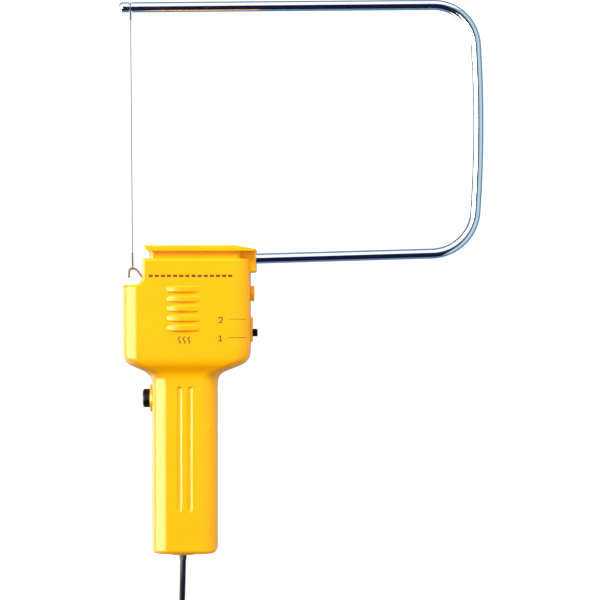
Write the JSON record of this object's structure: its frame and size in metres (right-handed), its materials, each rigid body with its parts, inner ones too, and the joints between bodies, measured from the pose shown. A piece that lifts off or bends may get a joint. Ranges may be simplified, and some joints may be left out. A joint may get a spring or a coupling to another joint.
{
  "type": "hot wire foam cutter",
  "caption": "Hand-held hot wire cutter: yellow grip and head, bent metal bow, thin wire on a sprung hook, push and slide switches, mains cord with plug.",
  "frame": {"origin": "on the flat back of the head, under the centre line of the grip", "axes": "+X across the tool, away from the cutting wire; +Y along the grip towards the bow; +Z out of the front face"},
  "size_m": [0.2148, 0.4296, 0.0452],
  "materials": {
    "yellow_abs": "moulded ABS, smooth satin gloss",
    "chrome_tube": "bright plated steel tube",
    "resistance_wire": "bright nickel chrome wire",
    "hook_wire": "bronzed spring wire",
    "turned_brass": "turned brass",
    "spring_steel": "bright spring wire",
    "black_plastic": "satin black",
    "switch_plastic": "matt black phenolic",
    "tinned_brass": "tinned",
    "zinc_screw": "zinc plated",
    "bronzed_screw": "dark bronzed",
    "plated_sheet": "zinc plated sheet",
    "core_steel": "varnished laminations",
    "bobbin_plastic": "natural nylon",
    "winding_tape": "polyester tape over copper",
    "copper_winding": "enamelled copper",
    "black_rubber": "matt",
    "cord_sheath": "soft PVC sheath, dark",
    "tie_plastic": "soft strap",
    "plug_plastic": "moulded PVC",
    "plated_blades": "nickel plated brass",
    "lead_white": "glass-braid sleeving",
    "lead_red": "insulated lead",
    "lead_black": "insulated lead"
  },
  "bodies": {
    "housing": {"front_shell": "yellow_abs", "rear_shell": "yellow_abs", "bow_arm": "chrome_tube", "arm_tip_cap": "chrome_tube", "cutting_wire": "resistance_wire", "hook_pivot_pin": "turned_brass", "hook_terminal": "turned_brass", "hook_spring": "spring_steel", "push_switch_body": "switch_plastic", "push_switch_terminals": "tinned_brass", "push_switch_bracket": "yellow_abs", "button_spring": "spring_steel", "slide_switch_body": "switch_plastic", "slide_switch_terminals": "tinned_brass", "arm_clamp": "turned_brass", "arm_clamp_screw": "zinc_screw", "arm_bracket": "plated_sheet", "bracket_screw": "bronzed_screw", "housing_screws": "zinc_screw", "transformer_core": "core_steel", "transformer_bobbin": "bobbin_plastic", "primary_winding": "winding_tape", "secondary_winding": "copper_winding", "cord_bushing": "black_rubber", "inner_cord": "cord_sheath", "cord_clamp": "bobbin_plastic", "cord_clamp_screws": "zinc_screw", "hook_lead": "lead_white", "arm_lead": "lead_white", "tap_lead": "lead_red", "switched_lead": "lead_black", "live_lead": "lead_black", "neutral_lead": "lead_black", "power_cord": "cord_sheath", "cord_tail": "cord_sheath", "cord_coil": "cord_sheath", "cord_tie": "tie_plastic", "plug_body": "plug_plastic", "plug_blades": "plated_blades"},
    "button": {"push_button": "black_plastic"},
    "knob": {"slide_knob": "black_plastic"},
    "hook": {"tension_hook": "hook_wire"}
  },
  "joints": [
    {"name": "button_press", "type": "slide", "parent": "housing", "child": "button", "axis": [1, 0, 0], "range_m": [0, 0.0025], "stiffness_N_per_m": 500, "springref_m": -0.001, "deforming": ["button_spring"]},
    {"name": "level_slide", "type": "slide", "parent": "housing", "child": "knob", "axis": [0, 1, 0], "range_m": [0, 0.0036]},
    {"name": "hook_swing", "type": "hinge", "parent": "housing", "child": "hook", "pos_m": [-0.0144, 0.012, 0.022], "axis": [0, 0, 1], "range_deg": [-6, 8], "stiffness_Nm_per_rad": 0.3, "deforming": ["cutting_wire", "hook_spring"]}
  ]
}
